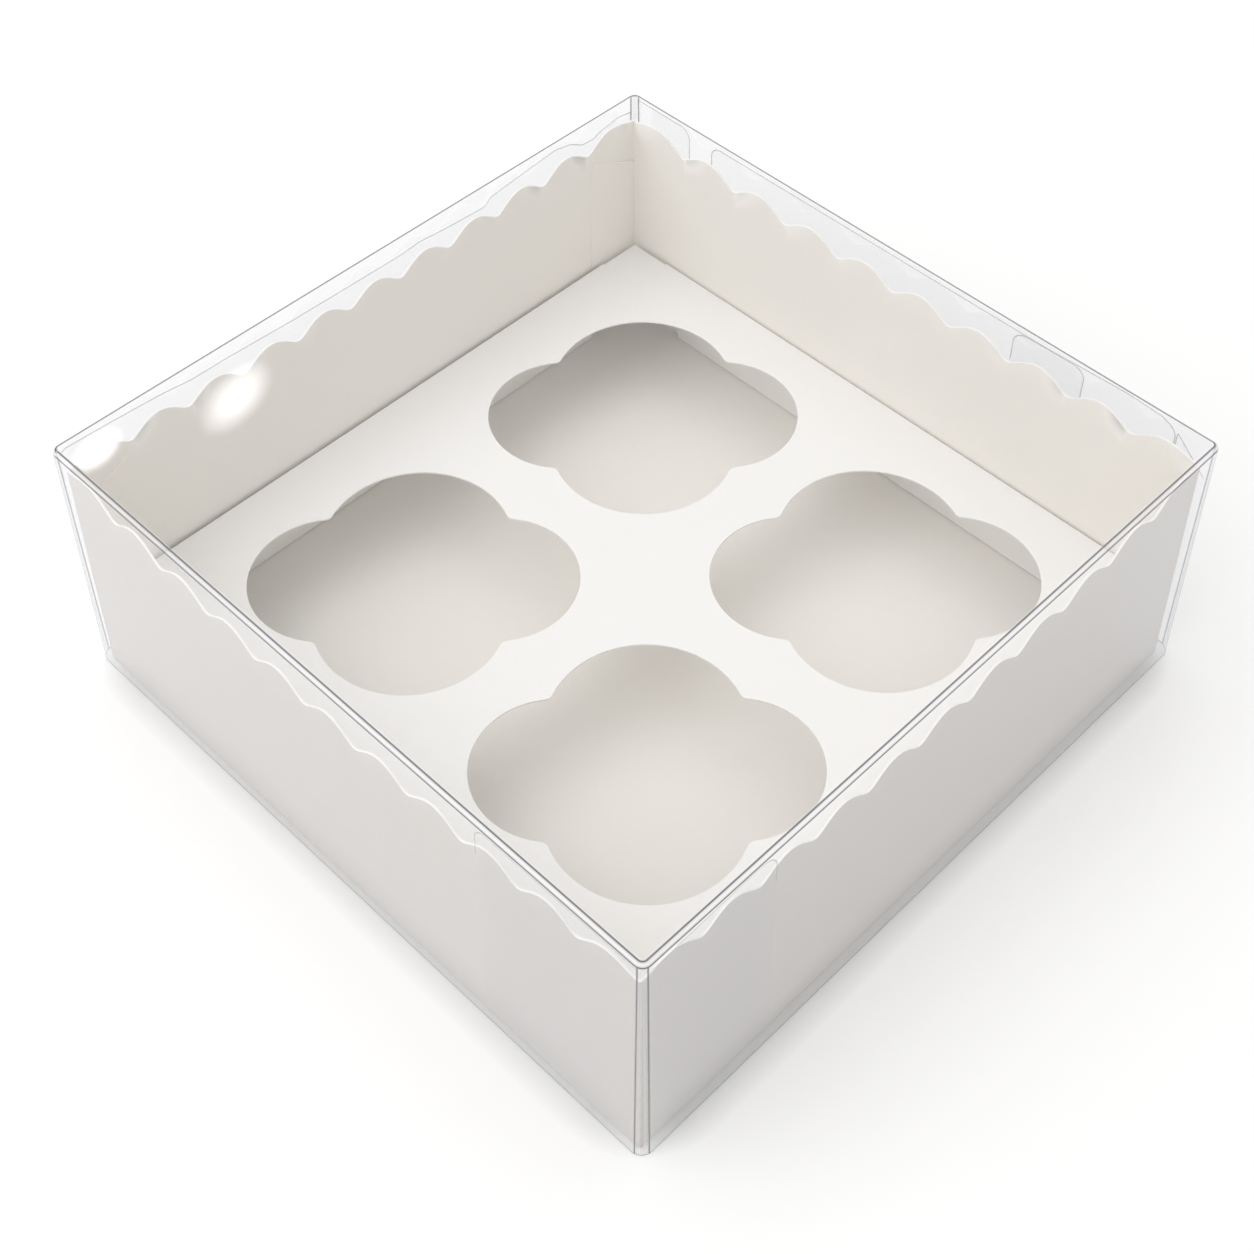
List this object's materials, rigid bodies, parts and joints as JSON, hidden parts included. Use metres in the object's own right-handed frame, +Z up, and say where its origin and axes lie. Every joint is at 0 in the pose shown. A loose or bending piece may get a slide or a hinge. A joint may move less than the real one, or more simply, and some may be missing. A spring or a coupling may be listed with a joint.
{
  "type": "cupcake box",
  "caption": "Square cupcake box: folded white paperboard tray with scalloped walls, insert card with clover-shaped cake holes, and a clear folded film cover that lifts off.",
  "frame": {"origin": "on the table, at the middle of the clear cover's open rim", "axes": "+Z up out of the box; +X and +Y square to the walls; the corner nearest the viewer points to -X -Y"},
  "size_m": [0.1744, 0.1744, 0.068],
  "materials": {
    "tray_board": "uncoated white paperboard, matt, with bright die-cut edges",
    "insert_card": "smooth white card, matt",
    "clear_film": "thin clear PET film, glossy, with darker crease lines"
  },
  "bodies": {
    "tray": {"base_tray": "tray_board", "cupcake_insert": "insert_card"},
    "cover": {"clear_cover": "clear_film"}
  },
  "joints": [
    {"name": "cover_lift", "type": "slide", "parent": "tray", "child": "cover", "axis": [0, 0, 1], "range_m": [0, 0.07]}
  ]
}
